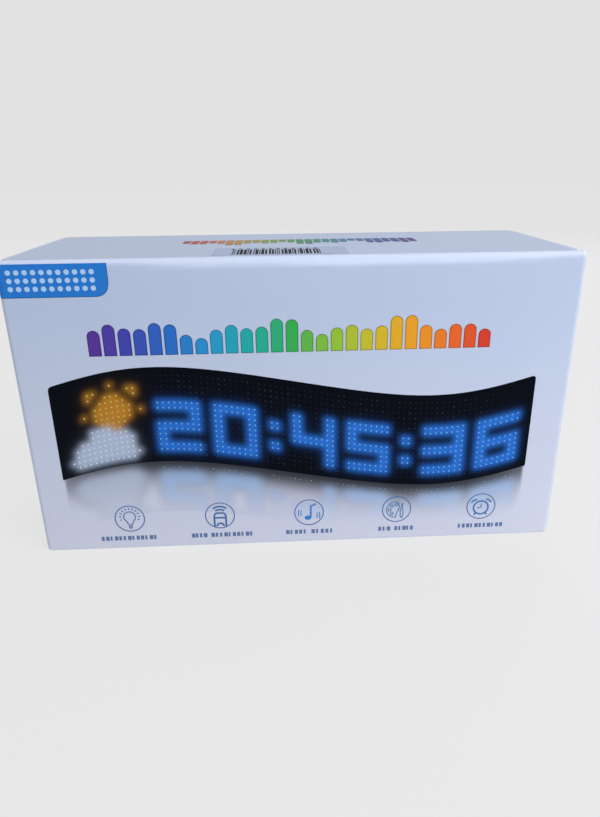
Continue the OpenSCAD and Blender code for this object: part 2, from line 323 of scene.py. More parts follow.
def board_strip(path, axes, along_path, thick=BOARD_T, soft=SOFT_R, edge=OPEN_EDGE,
                ends=(OPEN_EDGE, OPEN_EDGE), row_step=6.0):
    """A closed board carried along a path: at each station a ring runs over the outer face from
    low to high, round a quarter circle of radius soft at each cut, down the cut edge, where the
    core lies edge mm deeper than the two liners, and back over the inner face, thick mm inside.
    Flutes run across the path if along_path is true, and with it otherwise."""
    point, out = path["point"], path["out"]
    count = len(point)
    low, high = path["low"][:, None], path["high"][:, None]
    soft = np.broadcast_to(soft, count)[:, None]
    walk = path["walk"]
    from_end = np.minimum(walk - walk[0], walk[-1] - walk)
    least = SHUT_EDGE * min(1, thick)
    edge = np.broadcast_to(edge, count) * np.clip(from_end / OPEN_OVER, 0, 1)
    edge = np.maximum(edge, least)[:, None]
    turn = np.radians(np.linspace(90, 0, RIM_STATIONS))
    rim, rim_inset = soft * (1 - np.sin(turn)), soft * (1 - np.cos(turn))
    # Cut rims pale as their radius over CRUSH_R: a little wear on the soft rims, a full painted highlight
    # on the front's rolled edges.
    rim_wear_and_highlight = soft / CRUSH_R * np.sin(turn)
    span = high - low - 2 * soft
    near = SUPPORT_GAPS * np.minimum(1, SUPPORT_SHARE * span)
    shares = np.linspace(0, 1, int(np.ceil(span.max() / row_step)) + 1)[1:-1]
    clear = span - 2 * near[:, -1:]
    middle = low + soft + np.hstack([near, near[:, -1:] + clear * shares, span - near[:, ::-1]])
    across = np.hstack([low + rim, middle, (high - rim)[:, ::-1]])
    inset = np.hstack([rim_inset, 0 * middle, rim_inset[:, ::-1]])
    rows = across.shape[1]

    # A ring has rows points outside, 4 down one cut, rows inside and 4 up the other cut.
    layers, notch = np.repeat([LINER_SHARE, 1 - LINER_SHARE], 2), np.array([0, 1, 1, 0])
    core = soft + (thick - soft) * layers
    ring_across = np.hstack([across, high - edge * notch, across[:, ::-1], low + edge * notch])
    ring_inset = np.hstack([inset, core, np.full_like(across, thick), core[:, ::-1]])
    flat = point[:, None] - ring_inset[..., None] * out[:, None]
    ring = ring_across.shape[1]
    points = [(flat @ axes[:2] + ring_across[..., None] * axes[2]).reshape(-1, 3)]
    index = np.arange(count)[:, None] * ring + np.arange(ring + 1) % ring
    faces = [grid_quads(index)]
    # Its faces take the finishes in turn: 0 outside, 2 on a cut, 1 inside, 2 on the other cut.
    kind = [np.tile(np.repeat([0, 2, 1, 2], [rows - 1, 5, rows - 1, 5]), count - 1)]
    ring_wear_and_highlight = np.zeros((count, ring))
    ring_wear_and_highlight[:, :rows] = path["fold"][:, None]
    low_rim, high_rim = ring_wear_and_highlight[:, :RIM_STATIONS], ring_wear_and_highlight[:, rows - RIM_STATIONS:rows]
    low_rim[:] = np.maximum(low_rim, rim_wear_and_highlight)
    high_rim[:] = np.maximum(high_rim, rim_wear_and_highlight[:, ::-1])
    fold = [ring_wear_and_highlight.ravel()]
    flute = [np.repeat(walk, ring) if along_path else ring_across.ravel()]

    for station, depth, way in ((0, ends[0], 1), (count - 1, ends[1], -1)):
        inward = way * np.array([-out[station, 1], out[station, 0]])
        face_inset = inset[station, 1:-1]
        cap_inset = face_inset + (thick - face_inset) * layers[:, None]
        sunk = max(depth, least) * notch[:, None, None] * inward
        cap_flat = point[station] - cap_inset[..., None] * out[station] + sunk
        cap_across = np.tile(across[station, 1:-1], (4, 1))
        cap_points = cap_flat @ axes[:2] + cap_across[..., None] * axes[2]
        base = station * ring
        cap = np.empty((6, rows), int)
        cap[0] = base + np.arange(rows)
        cap[5] = base + 2 * rows + 3 - np.arange(rows)
        cap[1:5, 0] = base + 2 * rows + 7 - np.arange(4)
        cap[1:5, -1] = base + rows + np.arange(4)
        cap[1:5, 1:-1] = sum(map(len, points)) + np.arange(cap_inset.size).reshape(cap_inset.shape)
        quads = grid_quads(cap)
        faces.append(quads[:, ::-way])
        kind.append(np.full(len(quads), 2))
        points.append(cap_points.reshape(-1, 3))
        fold.append(np.zeros(cap_inset.size))
        flute.append(np.full(cap_inset.size, walk[station]) if along_path else cap_across.ravel())
    return {
        "points": np.concatenate(points), "faces": np.concatenate(faces),
        "kind": np.concatenate(kind), "fold": np.concatenate(fold),
        "flute": np.concatenate(flute) * MM,
    }


def joined(shells):
    """Several shells as one: their arrays end to end, with the vertex numbers moved on."""
    starts = np.cumsum([0] + [len(s["points"]) for s in shells])
    one = {key: np.concatenate([s[key] for s in shells]) for key in shells[0]}
    one["faces"] = np.concatenate([s["faces"] + start for s, start in zip(shells, starts)])
    return one


def mirrored(shell, x_side, z_side):
    """A shell reflected in the carton's middle planes where a side is -1, faces kept outward."""
    middle = np.array([0, 0, CARTON_H / 2])
    points = (shell["points"] - middle) * (x_side, 1, z_side) + middle
    return dict(shell, points=points, faces=shell["faces"][:, ::x_side * z_side])


def bowed(points):
    """Walls swell outwards by WALL_BOW sin(pi u) sin(pi v), u and v being shares of a wall's size."""
    x, y, z = points.T
    rise = np.sin(np.pi * np.clip(z / CARTON_H, 0, 1)) * WALL_BOW
    push_y = rise * np.sin(np.pi * np.clip((x + flat_w) / (2 * flat_w), 0, 1))
    push_x = rise * np.sin(np.pi * np.clip((y + flat_d) / (2 * flat_d), 0, 1))
    facing_y = np.abs(y) > half_d - BOARD_T - EDGE_SLACK
    facing_x = (np.abs(x) > half_w - 2 * BOARD_T - EDGE_SLACK) & ~facing_y
    moved_x = x + np.sign(x) * push_x * facing_x
    moved_y = y + np.sign(y) * push_y * facing_y
    return np.stack([moved_x, moved_y, z], axis=1)


def painted_foot_light_share(points):
    """Painted light on the front: the share of a paler colour grows evenly from a height of 98 mm down to
    the foot, and fades out round the corner folds: (top - z) / top times the depth into the fold over
    FOLD_R."""
    in_front = np.clip((FOLD_R - half_d - points[:, 1]) / FOLD_R, 0, 1)
    return in_front * np.clip((PAINTED_FOOT_LIGHT_TOP - points[:, 2]) / PAINTED_FOOT_LIGHT_TOP, 0, 1)


def add_piece(name, shell, materials):
    """A mesh object at the origin from a shell in mm, with its per-vertex values as attributes."""
    mesh = bpy.data.meshes.new(name)
    mesh.from_pydata((shell["points"] * MM).tolist(), [], shell["faces"].tolist())
    for material in materials:
        mesh.materials.append(material)
    mesh.polygons.foreach_set("material_index", shell["kind"].astype(np.int32))
    values = {"fold": shell["fold"], "flute": shell["flute"], "painted_foot_light": painted_foot_light_share(shell["points"])}
    for key, value in values.items():
        mesh.attributes.new(key, "FLOAT", "POINT").data.foreach_set("value", value.astype(np.float32))
    if "ink" in shell:
        ink = mesh.attributes.new("ink", "FLOAT_COLOR", "POINT")
        ink.data.foreach_set("color", shell["ink"].astype(np.float32).ravel())
    mesh.shade_smooth()
    mesh.set_sharp_from_angle(angle=np.radians(SHARP_TURN))
    made = bpy.data.objects.new(name, mesh)
    scene.collection.objects.link(made)
    return made


# Clay-coated paper under a satin film: pale, cool white, with the flutes just showing through, and paler
# towards the front's foot as painted light.
FILM_FACE = dict(tone="#b7c4de", drift="#b1bfdb", roughness=0.38, shine=0.06,
                 washboard=0.004, fibre=0.0015, paints_foot_light=True)
printed_paper = paper_finish("film_laminated_paper", **FILM_FACE)
# Uncoated recycled liner: greyish, dull and fibrous.
grey_liner = paper_finish("uncoated_grey_liner", "#c9c8c4", "#bfbdb7", roughness=0.85, shine=0.2,
                          washboard=0.012, fibre=0.01)
# Raw cut of the board: paper seen end on, warm grey and rough.
raw_edge = paper_finish("raw_cut_paper", "#c4bdb0", "#b0a797", roughness=0.9, shine=0.15,
                        washboard=0.0, fibre=0.02)
board_finishes = [printed_paper, grey_liner, raw_edge]

back_ear = flat_d - DUST_BACK - DUST_CUT
dust_run = DUST_BACK - DUST_FRONT + 2 * DUST_CUT
front_ear = 2 * flat_d - back_ear - dust_run
# The walls' limits are alike at the bottom and the top.
tops = EAR_TOP, DUST_FOLD, CARTON_H, LID_FOLD, CARTON_H - GLUE_CUT, CARTON_H - GLUE_CUT - GLUE_TAPER
ear, cut, full, back, glue_root, glue_tip = [(CARTON_H - top, top) for top in tops]
half_fold, whole_fold = (45, FOLD_R), (90, FOLD_R)
front_span = 2 * flat_w
back_span = front_span - BOARD_T - GLUE_T
side_run = [(back_ear, ear), (dust_run, cut), (front_ear, ear), (half_fold, ear)]
front_run = [(half_fold, full), (front_span, full), (half_fold, full)]
back_run = [(whole_fold, ear), (back_span, back), (whole_fold, ear)]
glue_run = [(GLUE_ROOT, ear), (GLUE_W - GLUE_ROOT, glue_root, glue_tip)]
wall_path = folded_path((-half_w, flat_d), -90,
                        side_run + front_run + side_run[::-1] + back_run + glue_run)
# Counted so that the walk along the front wall is the X coordinate there.
wall_path["walk"] -= 2 * flat_d + np.pi / 2 * FOLD_R + flat_w
at_front = wall_path["high"] > CARTON_H - EDGE_SLACK
walls = board_strip(wall_path, PLAN, True, soft=np.where(at_front, CRUSH_R, SOFT_R),
                    edge=np.where(at_front, SHUT_EDGE, OPEN_EDGE))
# The front wall's rolled upper edge carries a painted highlight, uneven and with a ripple: about 2 mm deep
# at the corners and twice that right of the middle.
wall_x, wall_y, wall_z = walls["points"].T
edge_highlight_depth = np.interp(wall_x, EDGE_HIGHLIGHT_ALONG, EDGE_HIGHLIGHT_DEPTHS)
edge_highlight_depth += 0.2 * np.sin(0.13 * wall_x) + 0.1 * np.sin(0.37 * wall_x + 1)
painted_edge_highlight = np.clip((wall_z - CARTON_H + edge_highlight_depth) / EDGE_HIGHLIGHT_FADE, 0, 1)
in_front_paper = wall_y < BOARD_T - half_d - EDGE_SLACK
walls["fold"] = np.maximum(walls["fold"], painted_edge_highlight * in_front_paper)
walls["points"] = bowed(walls["points"])
carton_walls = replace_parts(add_piece("carton_walls", walls, board_finishes), "carton_body")
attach(carton_walls, "carton")


# DUST FLAPS
# Four flaps of the same board, folded in from the side walls under the lids. They
# taper to a raw end, where the flutes' wavy middle paper shows between the liners.
DUST_ROOT, DUST_L = 6.0, 45.0
DUST_FRONT_TAPER, DUST_BACK_TAPER = 9.0, 4.0
DUST_LAP, LAP_LIFT = 2.0, 0.03
MEDIUM_T, MEDIUM_SWING, MEDIUM_SUNK, MEDIUM_MARGIN = 0.2, 0.32, 0.05, 0.5
MEDIUM_STEPS = 14


def flute_wave(path, axes):
    """The wavy paper in a board's raw end: inset = half the board + MEDIUM_SWING sin(2 pi w / pitch)
    at width w, as a strip MEDIUM_T thick that reaches from the cut into the open edge."""
    low, high = path["low"][-1] + MEDIUM_MARGIN, path["high"][-1] - MEDIUM_MARGIN
    width = np.linspace(low, high, int((high - low) / FLUTE_PITCH * MEDIUM_STEPS))
    wave = BOARD_T / 2 + MEDIUM_SWING * np.sin(2 * np.pi * width / FLUTE_PITCH)
    out = path["out"][-1]
    inward = np.array([out[1], -out[0]])
    inset = wave[:, None] + MEDIUM_T / 2 * np.array([-1, 1, 1, -1])
    depth = MEDIUM_SUNK + OPEN_EDGE * np.array([0, 0, 1, 1])
    flat = path["point"][-1] - inset[..., None] * out + depth[:, None] * inward
    points = (flat @ axes[:2] + width[:, None, None] * axes[2]).reshape(-1, 3)
    index = np.arange(len(width))[:, None] * 4 + np.arange(5) % 4
    faces = np.concatenate([grid_quads(index)[:, ::-1], index[:1, 3::-1], index[-1:, :4]])
    return {
        "points": points, "faces": faces, "kind": np.zeros(len(faces)),
        "fold": np.zeros(len(points)), "flute": np.repeat(width, 4) * MM,
    }


dust_root = (-DUST_BACK, -DUST_FRONT)
dust_tip = (-DUST_BACK + DUST_BACK_TAPER, -DUST_FRONT - DUST_FRONT_TAPER)
dust_path = folded_path((half_w + LAP_LIFT, DUST_FOLD - DUST_LAP), 90, [
    (DUST_LAP, dust_root),
    ((90, FOLD_R + LAP_LIFT), dust_root),
    (DUST_ROOT, dust_root),
    (DUST_L - DUST_ROOT, dust_root, dust_tip),
])
dust_flap = board_strip(dust_path, FRONT_ON, False, thick=BOARD_T + 2 * LAP_LIFT,
                        ends=(SHUT_EDGE, OPEN_EDGE))
dust_wave = flute_wave(dust_path, FRONT_ON)
corners = [(x_side, z_side) for x_side in (1, -1) for z_side in (1, -1)]
for name, shell, finishes in (("dust_flaps", dust_flap, board_finishes),
                              ("dust_flap_flutes", dust_wave, [raw_edge])):
    piece = add_piece(name, joined([mirrored(shell, *corner) for corner in corners]), finishes)
    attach(piece, "carton")


# LIDS
# Top and bottom lids of the same board: a panel hinged on the back wall, a fold along
# its front, and a tuck flap with round corners that slips in behind the front wall.
LID_INSET, TUCK_PLAY, TUCK_STEP = 1.5, 1.0, 0.5
HINGE_HALF = half_w - BOARD_T - FOLD_R
LID_HALF = half_w - LID_INSET
TUCK_HALF = half_w - BOARD_T - TUCK_PLAY
TUCK_L, TUCK_CORNER_R, TUCK_LEAN = 16.0, 8.0, 7.68
FRONT_FOLD = -33.684
PANEL_RUN = flat_d - FRONT_FOLD
LID_BOW = 0.25
# The painted highlight along the lid panel's cut sides: its width, fade, strength and depth.
SIDE_HIGHLIGHT_W, SIDE_HIGHLIGHT_FADE, SIDE_HIGHLIGHT_SHARE, SIDE_HIGHLIGHT_DEPTH = 1.6, 1.2, 0.65, 0.6


def arched(points):
    """The lid's panel rises by LID_BOW sin(pi u) sin(pi v), u and v being shares of its size."""
    x, y, z = points.T
    across = np.sin(np.pi * np.clip((x + LID_HALF) / (2 * LID_HALF), 0, 1))
    along = np.sin(np.pi * np.clip((y - FRONT_FOLD) / PANEL_RUN, 0, 1))
    in_panel = z > CARTON_H - BOARD_T - EDGE_SLACK
    return np.stack([x, y, z + LID_BOW * across * along * in_panel], axis=1)


def corner_cut(radius, to_edge):
    """What a round corner takes off at d = to_edge mm from the edge: r - sqrt(r^2 - (r - d)^2)."""
    into_corner = np.clip(radius - to_edge, 0, radius)
    return radius - np.sqrt(radius ** 2 - into_corner ** 2)


reaches = HINGE_HALF, LID_HALF, TUCK_HALF, TUCK_HALF - TUCK_STEP
hinge, panel, tuck, flap = [(-reach, reach) for reach in reaches]
hinge_step, front_step = LID_HALF - HINGE_HALF, LID_HALF - TUCK_HALF
lid_path = folded_path((flat_d, CARTON_H), 180, [
    (hinge_step, hinge, panel),
    (PANEL_RUN - hinge_step - front_step, panel),
    (front_step, panel, tuck),
    ((90 + TUCK_LEAN, FOLD_R), tuck),
    (TUCK_L, flap),
], step=1.0)
flap_cut = corner_cut(TUCK_CORNER_R, lid_path["walk"][-1] - lid_path["walk"])
lid_path["low"] += flap_cut
lid_path["high"] -= flap_cut
lid = board_strip(lid_path, SIDE_ON, False, ends=(SHUT_EDGE, OPEN_EDGE))
# Along the panel's cut sides the printed paper is painted paler over its last 1.6 mm, a painted highlight.
lid_x, lid_z = lid["points"][:, 0], lid["points"][:, 2]
painted_side_highlight = SIDE_HIGHLIGHT_SHARE * np.clip((np.abs(lid_x) - LID_HALF + SIDE_HIGHLIGHT_W) / SIDE_HIGHLIGHT_FADE, 0, 1)
lid["fold"] = np.maximum(lid["fold"], painted_side_highlight * (lid_z > CARTON_H - SIDE_HIGHLIGHT_DEPTH))
tuck_wave = flute_wave(lid_path, SIDE_ON)

top = add_piece("top_lid_board", dict(lid, points=arched(lid["points"])), board_finishes)
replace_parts(top, "top_lid")
top_flutes = add_piece("top_tuck_flutes", tuck_wave, [raw_edge])
bottom = add_piece("bottom_lid_board", mirrored(lid, 1, -1), board_finishes)
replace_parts(bottom, "bottom_lid")
bottom_flutes = add_piece("bottom_tuck_flutes", mirrored(tuck_wave, 1, -1), [raw_edge])
for piece, body in ((top, "lid"), (top_flutes, "lid"), (bottom, "bottom"), (bottom_flutes, "bottom")):
    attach(piece, body)


# HINGE CREASES
# The scored folds between the back wall and the two lids: the same board, crushed along the score.
CREASE_LAP = 1.5

crease_path = folded_path((half_d + LAP_LIFT, LID_FOLD - CREASE_LAP), 90, [
    (CREASE_LAP, hinge),
    ((90, FOLD_R + LAP_LIFT), hinge),
    (CREASE_LAP, hinge),
])
crease = board_strip(crease_path, SIDE_ON, False, thick=BOARD_T + 2 * LAP_LIFT, edge=SHUT_EDGE,
                     ends=(SHUT_EDGE, SHUT_EDGE))
for name, body, z_side in (("top_hinge_crease", "lid", 1), ("bottom_hinge_crease", "bottom", -1)):
    piece = add_piece(name, mirrored(crease, 1, z_side), board_finishes)
    wall_z, lid_z = (LID_FOLD, CARTON_H) if z_side > 0 else (FOLD_R, 0)
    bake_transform(piece)


# FRONT PRINT: TAG AND EQUALISER
# Litho ink under the same film: a blue tag in the upper left corner that runs round the
# fold, with rows of pale dots, and a row of rainbow bars across the top.
INK_T = 0.06
# How far ink stands proud of the paper: alone, under other ink and over it.
LIFT, UNDER_LIFT, OVER_LIFT = 0.05, 0.03, 0.08
TAG_INK, TAG_RIM_INK, TAG_DOT_INK = "#2876cc", "#1d5697", "#a9c9ee"
TAG_LEFT, TAG_RIGHT, TAG_TOP, TAG_BOTTOM, TAG_CORNER_R = -1.1, 37.5, 1.25, 12.5, 4.5
TAG_RIM, TAG_ROWS, TAG_COLS = 0.25, 8, 60
TAG_DOTS_B, TAG_DOTS_A, TAG_DOT_R = np.linspace(4.1, 9.7, 3), np.linspace(4.4, 32.4, 11), 0.95
RAINBOW = ["#5a3192", "#3f46ac", "#2c69c2", "#2b93cb", "#22a79c", "#37a853", "#86bc3c",
           "#c6b62c", "#e39a28", "#e2652a", "#c9302c"]
BAR_COUNT, BAR_LEFT, BAR_RIGHT, BAR_BASE, BAR_TALLEST = 27, 27.3, 173.2, 33.8, 12.7
BAR_SHARE, BAR_RIM_SHARE, BAR_RIM_TONE, BAR_ROUND_STEPS = 0.74, 0.05, 0.45, 13


def ink_of(code):
    """A linear ink colour; its alpha is its cover of the paper, here 1."""
    return np.array(linear(code))


def covering(colours):
    """Linear colours as inks of cover 1."""
    return np.concatenate([colours, np.ones((*colours.shape[:-1], 1))], axis=-1)


def patch(a, b, ink, lift=LIFT):
    """A field of ink over a grid of sheet points: a mm from the left, b mm down from the top."""
    index = np.arange(a.size).reshape(a.shape)
    faces = grid_quads(index)
    sheet = np.stack([a, b], axis=-1).reshape(-1, 2)
    first, second = sheet[faces[:, 2]] - sheet[faces[:, 0]], sheet[faces[:, 3]] - sheet[faces[:, 1]]
    wrong_way = first[:, 0] * second[:, 1] - first[:, 1] * second[:, 0] > 0
    faces[wrong_way] = faces[wrong_way][:, ::-1]
    inks = np.broadcast_to(ink, (*a.shape, 4)).reshape(-1, 4)
    return {"points": sheet, "faces": faces, "ink": inks, "lift": np.full(len(sheet), lift)}


def dots(a, b, radius, inks):
    """Octagons of ink round the sheet points, each split into three quads."""
    centres = np.stack([a, b], axis=-1).reshape(-1, 1, 2)
    turn = np.radians(np.arange(8) * -45 + 22.5)
    octagon = np.stack([np.cos(turn), -np.sin(turn)], axis=1)
    sheet = (centres + np.broadcast_to(radius, a.shape).reshape(-1, 1, 1) * octagon).reshape(-1, 2)
    three = np.array([[0, 1, 2, 3], [0, 3, 4, 7], [4, 5, 6, 7]])[:, ::-1]
    faces = (np.arange(a.size)[:, None, None] * 8 + three).reshape(-1, 4)
    inks = np.repeat(np.broadcast_to(inks, (*a.shape, 4)).reshape(-1, 4), 8, axis=0)
    return {"points": sheet, "faces": faces, "ink": inks, "lift": np.full(len(sheet), OVER_LIFT)}


def round_bar(left, right, top, base, ink, lift):
    """An upright bar with a round top: b = top + r - r sin(t), a = middle - r cos(t), down to base."""
    radius = (right - left) / 2
    turn = np.linspace(0, np.pi, BAR_ROUND_STEPS)
    a = (left + right) / 2 - radius * np.cos(turn)
    b = top + radius - radius * np.sin(turn)
    return patch(np.stack([a, a]), np.stack([b, np.full_like(b, base)]), ink, lift)


def on_front(sheet, lift):
    """Sheet points on the front wall, past its ends round the corner folds, lift mm proud."""
    x, z = sheet[:, 0] - half_w, CARTON_H - sheet[:, 1]
    turn = np.clip(np.abs(x) - flat_w, 0, None) / FOLD_R
    round_x = np.clip(x, -flat_w, flat_w) + np.sign(x) * (FOLD_R + lift) * np.sin(turn)
    round_y = -flat_d - (FOLD_R + lift) * np.cos(turn)
    return bowed(np.stack([round_x, round_y, z], axis=1))


# The printed face of the laminated paper: flat litho tints under the same satin film.
litho_ink = paper_finish("litho_ink_under_film", **FILM_FACE, printed=True)


def add_print(name, shapes, to_place=on_front, body="carton", material=litho_ink):
    """Ink shapes as one thin piece, INK_T thick, bedded in the paper at to_place(sheet, lift)."""
    one = joined(shapes)
    points = to_place(one["points"], one["lift"])
    piece = add_piece(name, dict(one, points=points, kind=np.zeros(len(one["faces"])),
                                 fold=np.zeros(len(points)), flute=points[:, 0] * MM), [material])
    corner_edges = np.empty(len(piece.data.loops), np.int32)
    piece.data.loops.foreach_get("edge_index", corner_edges)
    at_rim = np.bincount(corner_edges, minlength=len(piece.data.edges)) == 1
    piece.data.edges.foreach_set("use_edge_sharp", at_rim)
    slab = piece.modifiers.new("ink_thickness", "SOLIDIFY")
    slab.thickness = INK_T * MM
    slab.offset = -1
    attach(piece, body)


def rainbow(share):
    """The linear colour at a share of the rainbow, from 0, violet, to 1, red."""
    stops = np.array([ink_of(code)[:3] for code in RAINBOW])
    at = np.linspace(0, 1, len(stops))
    return np.array([np.interp(share, at, channel) for channel in stops.T])


def equaliser(left, right, base, tallest, paleness=1.0):
    """Rainbow bars of heights 0.7 + 0.3 sin(1.15 k) cos(0.43 k + 0.5) of the tallest, each with
    a darker rim of ink under it. A paleness under 1 gives deeper inks."""
    pitch = (right - left) / BAR_COUNT
    half, rim = BAR_SHARE * pitch / 2, BAR_RIM_SHARE * pitch
    shapes = []
    for k in range(BAR_COUNT):
        middle = left + (k + 0.5) * pitch
        height = tallest * (0.7 + 0.3 * np.sin(1.15 * k) * np.cos(0.43 * k + 0.5))
        colour = rainbow((k + 0.5) / BAR_COUNT) * paleness
        for grow, tone, lift in ((rim, BAR_RIM_TONE, LIFT), (0, 1, OVER_LIFT)):
            shapes.append(round_bar(middle - half - grow, middle + half + grow, base - height - grow,
                                    base + grow, covering(colour * tone), lift))
    return shapes


def tag_field(grow, ink, lift):
    """The tag's field, grow mm larger below and at its right: its base is level, then the quarter
    circle TAG_BOTTOM - r + sqrt((r + grow)^2 - s^2) for s mm past the corner's start."""
    a = np.linspace(TAG_LEFT, TAG_RIGHT + grow, TAG_COLS)
    radius = TAG_CORNER_R + grow
    past_corner = np.clip(a - (TAG_RIGHT - TAG_CORNER_R), 0, radius)
    base = TAG_BOTTOM - TAG_CORNER_R + np.sqrt(radius ** 2 - past_corner ** 2)
    down = np.linspace(0, 1, TAG_ROWS)[:, None]
    return patch(np.tile(a, (TAG_ROWS, 1)), TAG_TOP + down * (base - TAG_TOP), ink, lift)


tag = tag_field(0, ink_of(TAG_INK), LIFT)
tag_rim = tag_field(TAG_RIM, ink_of(TAG_RIM_INK), UNDER_LIFT)
tag_dots = dots(*np.meshgrid(TAG_DOTS_A, TAG_DOTS_B), TAG_DOT_R, ink_of(TAG_DOT_INK))
add_print("front_tag_print", [tag_rim, tag, tag_dots])
add_print("front_equaliser_print", equaliser(BAR_LEFT, BAR_RIGHT, BAR_BASE, BAR_TALLEST))


# FRONT PRINT: DISPLAY PICTURE
# A picture of a bent black display across the middle: a fine grid of lamps, some lit as a
# clock and a small weather sign, and its fading mirror image on the paper below.
LAMP_ROWS, LAMP_COLS, LAMP_PITCH = 18, 86, 2.1
LIT_R, UNLIT_R, LAMP_LIGHTEN = 0.36, 0.27, 0.55
DISPLAY_LEFT, DISPLAY_MID, DISPLAY_WAVE, DISPLAY_SKEW = 11.1, 45.4, 6.9, 0.035
DISPLAY_TOP_R, DISPLAY_BASE_R = 1.4, 0.3
DISPLAY_BLACK, LAMP_OFF_INK = "#010410", "#5a606c"
LIT_BLUE, LIT_AMBER, LIT_WHITE = "#2a70d2", "#b27c22", "#a9b8d2"
# The lit lamps' glow, near and wide, as strength and spread in lamps, and the brightest it gets.
GLOWS, BRIGHTEST = [(0.40, 0.6), (0.006, 1.5)], 0.95
# Cells of the field's grid to a lamp, and rows added close to its edges.
CELLS, EDGE_ROWS = 3, np.array([0.04, 0.1, 0.18, 0.26])

# The weather sign and the clock, in rows and columns of lamps.
SUN_ROW, SUN_COL, SUN_R = 7, 10, 3.4
RAY_FROM, RAY_TO, RAY_STEP, RAY_GAP = 4.6, 6, 45, 14
PUFFS = [(13.6, 4.6, 2.2), (12.4, 7.6, 2.9), (13.2, 11.0, 2.5)]
FOOT_ROW, FOOT_COL, FOOT_HALF = 15, 8, 6.5
CLOCK_FACE, CLOCK_ROW, CLOCK_COL, FIGURE_STEP, COLON_STEP = "20:45:36", 6, 18, 10, 4
# Each bar of a figure, and each point of a colon, as its rows and columns up to past the last.
SEGMENTS = {"a": (0, 2, 0, 8), "b": (0, 6, 6, 8), "c": (4, 10, 6, 8), "d": (8, 10, 0, 8),
            "e": (4, 10, 0, 2), "f": (0, 6, 0, 2), "g": (4, 6, 0, 8), "h": (2, 4, 0, 2), "i": (6, 8, 0, 2)}
MARKS = {"0": "abcdef", "2": "abged", "3": "abgcd", "4": "fgbc", "5": "afgcd", "6": "afgecd", ":": "hi"}

# Unlit lamps come into sight and are lost again between these columns.
SIGHT_COLS = [14, 20, 74, 82]
CATCH_LEAST, CATCH_SPAN, CATCH_POWER = 0.08, 0.3, 3

# The mirror image: its size in mm, its inks, its blur in lamps, and how its dark and its light fade.
MIRROR_DROP, MIRROR_GAP, MIRROR_LEVEL, MIRROR_ROWS = 22.0, 0.6, 108.0, 33
MIRROR_GREY, MIRROR_BLUE, MIRROR_WHITE, GLINT_INK = "#24272d", "#93b5e4", "#b3bfd6", "#aab2c0"
MIRROR_BLUR, MIRROR_GAIN = 0.9, 2.2
DARK_MOST, DARK_REACH, DARK_POWER, LIGHT_MOST = 0.97, 0.38, 2.3, 0.95
LEFT_FADE, RIGHT_FADE, FADE_COLS, RIM_COLS = 0.4, 0.15, 5, 0.6
THIN_COVER, SUNK_LIFT = 0.06, -0.02
GLINT_COL, GLINT_R, GLINT_DROPS, GLINT_POWERS = 14, 0.1, [[2.5], [3.6]], [[1], [4]]


def at_lamp(row, col):
    """The sheet point at a row and column of lamps. The upper edge, row 0, is a sine whose crest and
    trough are drawn to the ends: DISPLAY_MID - DISPLAY_WAVE sin(t + 2 pi DISPLAY_SKEW sin(t)), where
    t goes round once."""
    turn = 2 * np.pi * col / LAMP_COLS
    top = DISPLAY_MID - DISPLAY_WAVE * np.sin(turn + 2 * np.pi * DISPLAY_SKEW * np.sin(turn))
    return DISPLAY_LEFT + LAMP_PITCH * col, top + LAMP_PITCH * row


def glow(lit, v, u, spread):
    """Light at row v and column u: the sum over lamps of exp(-distance^2 / (2 spread^2))."""
    row = np.exp(-((v[:, None] - np.arange(LAMP_ROWS) - 0.5) ** 2) / (2 * spread ** 2))
    col = np.exp(-((u[:, None] - np.arange(LAMP_COLS) - 0.5) ** 2) / (2 * spread ** 2))
    return np.einsum("ir,rck,jc->ijk", row, lit, col)


def display_colour(v, u):
    """The display at row v and column u: black, with a near and a wide glow of the lit lamps."""
    light = sum(strength * glow(lit, v, u, spread) for strength, spread in GLOWS)
    return np.clip(ink_of(DISPLAY_BLACK)[:3] + light, 0, BRIGHTEST)


lit = np.zeros((LAMP_ROWS, LAMP_COLS, 3))
rows, cols = np.mgrid[0:LAMP_ROWS, 0:LAMP_COLS]
amber, white, blue = (ink_of(code)[:3] for code in (LIT_AMBER, LIT_WHITE, LIT_BLUE))
from_sun = np.hypot(rows - SUN_ROW, cols - SUN_COL)
ray_turn = np.degrees(np.arctan2(rows - SUN_ROW, cols - SUN_COL)) % RAY_STEP
sun_rays = (from_sun > RAY_FROM) & (from_sun < RAY_TO) & (np.abs(ray_turn - RAY_STEP / 2) > RAY_GAP)
lit[(from_sun < SUN_R) | sun_rays & (rows < SUN_ROW + 3)] = amber
in_puffs = np.any([np.hypot(rows - row, cols - col) < radius for row, col, radius in PUFFS], axis=0)
from_foot = np.abs(rows - FOOT_ROW)
in_foot = (from_foot < 2) & (np.abs(cols - FOOT_COL) < FOOT_HALF - from_foot)
lit[in_puffs & (rows < FOOT_ROW + 2) | in_foot] = white
column = CLOCK_COL
for mark in CLOCK_FACE:
    for segment in MARKS[mark]:
        top, base, left, right = SEGMENTS[segment]
        lit[CLOCK_ROW + top:CLOCK_ROW + base, column + left:column + right] = blue
    column += COLON_STEP if mark == ":" else FIGURE_STEP
is_on = lit.max(axis=2) > 0

